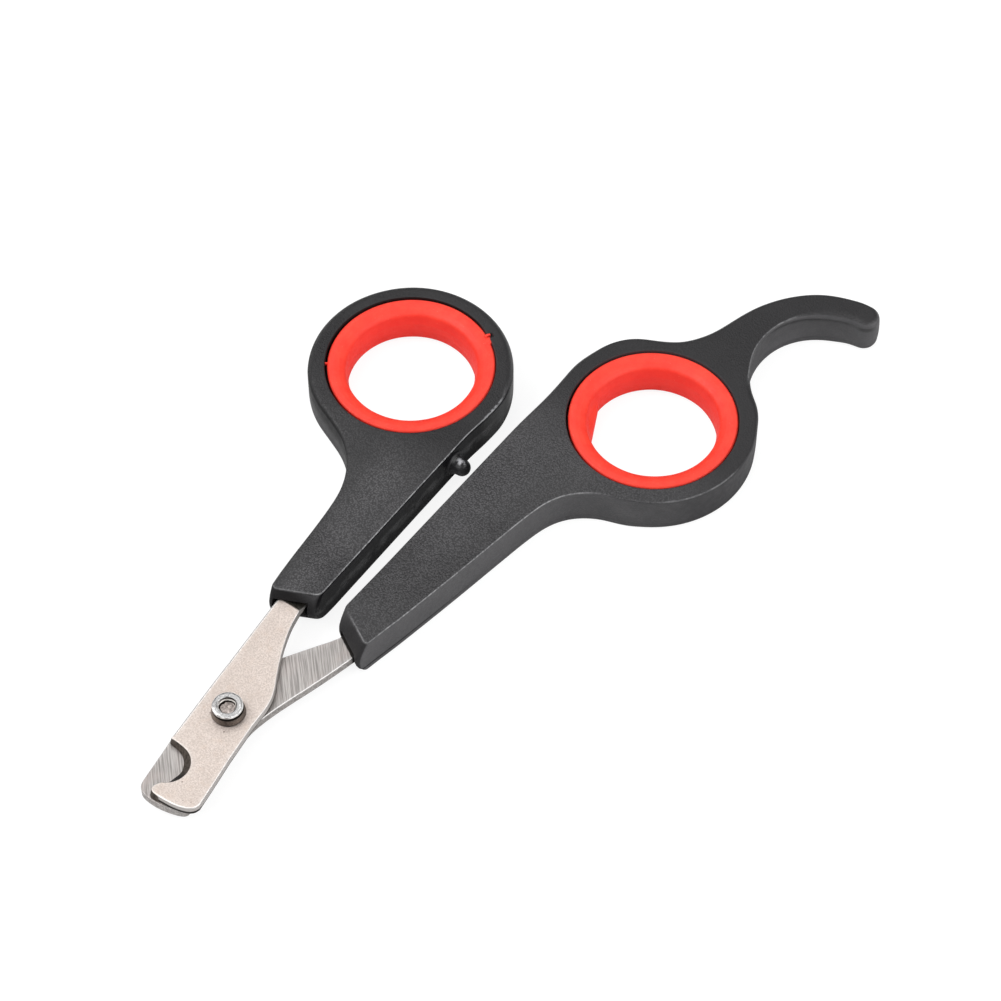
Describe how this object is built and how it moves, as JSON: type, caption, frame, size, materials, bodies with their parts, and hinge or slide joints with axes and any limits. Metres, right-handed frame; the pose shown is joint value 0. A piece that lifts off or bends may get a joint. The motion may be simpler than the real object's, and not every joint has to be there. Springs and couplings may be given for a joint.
{
  "type": "scissor nail clipper",
  "caption": "Scissor-action claw clipper: riveted steel blades with hooked claw notches, moulded handles with soft ring inserts, and a curved finger rest.",
  "frame": {"origin": "on the pivot axis, on the flat face of the rivet's head, which is level with the undersides of both handles (the plane the clipper rests on)", "axes": "+Z along the pivot axis, up from the resting plane to the upper blade; +X from the pivot towards the handles; the thumb half lies on +Y, the finger half with the finger rest on -Y"},
  "size_m": [0.1258, 0.0652, 0.0063],
  "materials": {
    "ground_steel": "cross-ground stainless sheet",
    "satin_steel": "tumbled satin stainless sheet, slightly warm",
    "rivet_steel": "plated, rolled end slightly rough",
    "washer_steel": "dull, slightly brown",
    "handle_plastic": "black moulded plastic, fine leather grain",
    "insert_rubber": "red soft moulded insert, satin"
  },
  "bodies": {
    "finger_half": {"lower_blade": "ground_steel", "finger_handle": "handle_plastic", "finger_ring_insert": "insert_rubber", "pivot_rivet": "rivet_steel", "rivet_washer": "washer_steel"},
    "thumb_half": {"upper_blade": "satin_steel", "thumb_handle": "handle_plastic", "thumb_ring_insert": "insert_rubber"}
  },
  "joints": [
    {"name": "scissor_pivot", "type": "hinge", "parent": "finger_half", "child": "thumb_half", "pos_m": [0, 0, 0.0031], "axis": [0, 0, 1], "range_deg": [-1.75, 180]}
  ]
}
